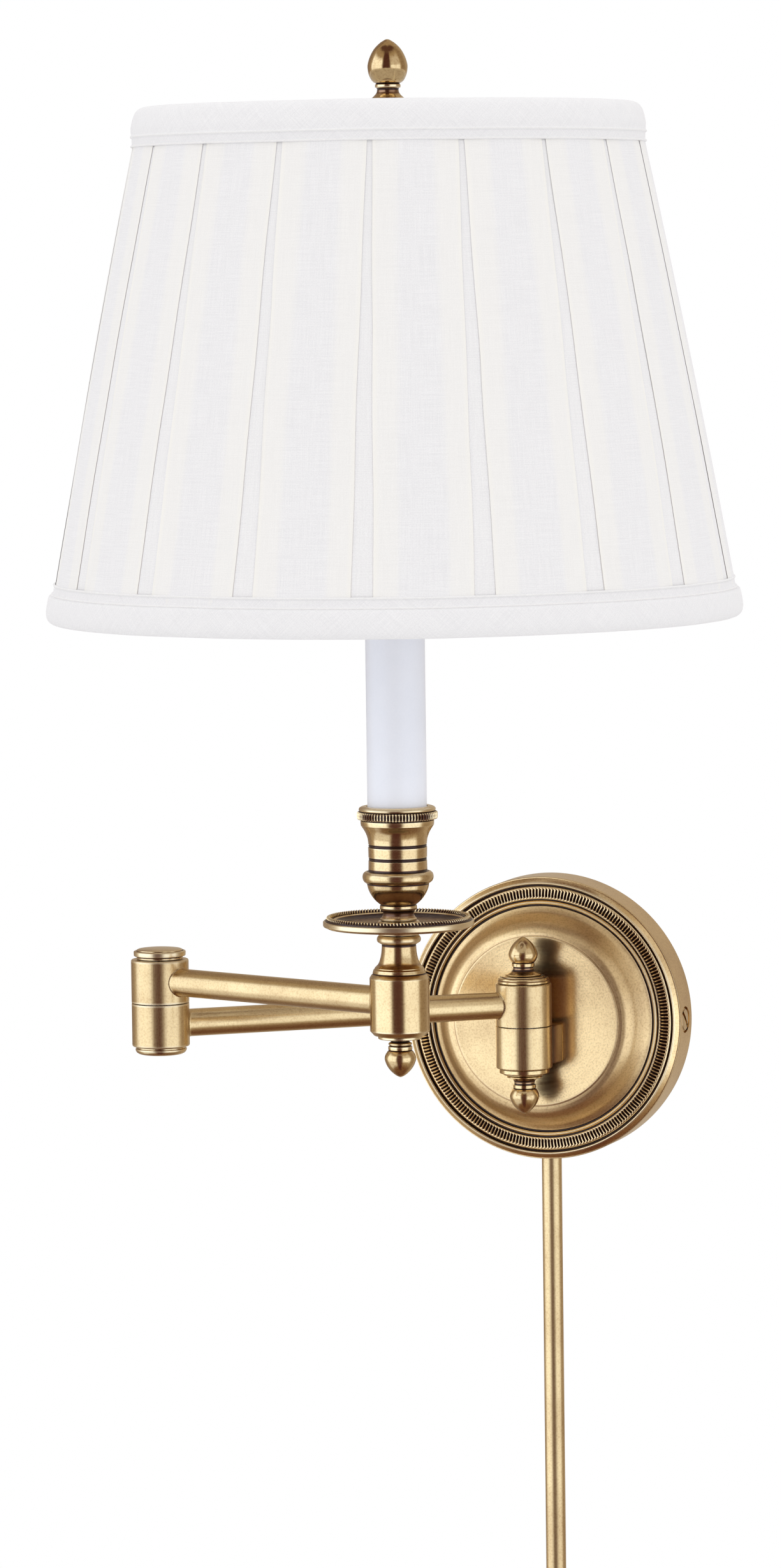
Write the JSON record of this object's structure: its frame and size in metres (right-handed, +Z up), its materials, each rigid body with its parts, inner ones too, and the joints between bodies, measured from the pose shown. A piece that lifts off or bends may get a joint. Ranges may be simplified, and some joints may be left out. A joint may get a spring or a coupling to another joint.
{
  "type": "swing arm wall sconce",
  "caption": "Wall lamp with a round canopy, a jointed swing arm, a candle post under a box-pleated empire shade, and a cord cover below.",
  "frame": {"origin": "centre of the mounting bar's back face, on the wall plane", "axes": "+Z up, +Y into the wall, the lamp stands out along -Y, +X to the right of someone facing the wall"},
  "size_m": [0.308, 0.3682, 0.8244],
  "materials": {
    "antique_brass": "antique brass, polished with dark patina in the recesses",
    "satin_brass": "antique brass, brushed lengthwise",
    "zinc_steel": "zinc plated",
    "candle_white": "smooth satin",
    "shade_cloth": "fine slub weave, box pleated",
    "shade_trim": "folded bias band with piped edge",
    "shade_lining": "smooth lining",
    "frame_white": "white enamel",
    "insulator": "moulded",
    "lead_insulation": "extruded",
    "lamp_glass": "white coated inside",
    "cap_aluminium": "rolled"
  },
  "bodies": {
    "wall_plate": {"canopy": "antique_brass", "mounting_bar": "zinc_steel", "side_screw_right": "antique_brass", "side_screw_left": "antique_brass", "wall_bracket": "antique_brass", "wall_pin": "zinc_steel", "wall_friction_washer": "zinc_steel", "wall_cap_upper": "antique_brass", "wall_finial_upper": "antique_brass", "wall_cap_lower": "antique_brass", "wall_finial_lower": "antique_brass", "bracket_nipple": "zinc_steel", "bracket_washer": "zinc_steel", "bracket_nut": "zinc_steel", "canopy_lead": "lead_insulation", "cord_cover_tube": "satin_brass", "cord_cover_bushing": "antique_brass", "cord_cover_clip": "antique_brass"},
    "lower_arm": {"wall_knuckle": "antique_brass", "lower_arm_tube": "satin_brass", "lower_arm_lead": "lead_insulation", "elbow_knuckle_lower": "antique_brass", "elbow_pin": "zinc_steel", "elbow_friction_washer": "zinc_steel", "elbow_cap_upper": "antique_brass", "elbow_cap_lower": "antique_brass"},
    "upper_arm": {"elbow_knuckle_upper": "antique_brass", "upper_arm_tube": "satin_brass", "upper_arm_lead": "lead_insulation", "post_body": "antique_brass", "post_finial": "antique_brass", "post_pipe": "zinc_steel", "post_lead": "lead_insulation", "bobeche": "antique_brass", "candle_cup": "antique_brass", "cup_nut": "zinc_steel", "candle_sleeve": "candle_white", "harp_saddle": "antique_brass", "harp": "antique_brass", "harp_ferrule_left": "antique_brass", "harp_ferrule_right": "antique_brass", "socket_cap": "antique_brass", "socket_shell": "antique_brass", "socket_insulator": "insulator", "socket_screw_shell": "cap_aluminium", "bulb_base": "cap_aluminium", "bulb_glass": "lamp_glass"},
    "switch_key": {"switch_key": "insulator"},
    "shade": {"shade_fabric": "shade_cloth", "shade_lining": "shade_lining", "shade_trim_upper": "shade_trim", "shade_trim_lower": "shade_trim", "shade_spider": "frame_white", "shade_ring_upper": "frame_white", "shade_ring_lower": "frame_white", "shade_finial": "antique_brass"}
  },
  "joints": [
    {"name": "wall_swing", "type": "hinge", "parent": "wall_plate", "child": "lower_arm", "pos_m": [0, -0.0508, 0], "axis": [0, 0, 1], "range_deg": [-37.5, 90]},
    {"name": "elbow_swing", "type": "hinge", "parent": "lower_arm", "child": "upper_arm", "pos_m": [-0.14122, -0.15916, 0.0206], "axis": [0, 0, 1], "range_deg": [-120, 45]},
    {"name": "shade_turn", "type": "hinge", "parent": "upper_arm", "child": "shade", "pos_m": [-0.00706, -0.21418, 0.425], "axis": [0, 0, 1], "continuous": true},
    {"name": "switch_turn", "type": "hinge", "parent": "upper_arm", "child": "switch_key", "pos_m": [-0.00706, -0.21418, 0.2503], "axis": [0, -1, 0], "continuous": true}
  ]
}
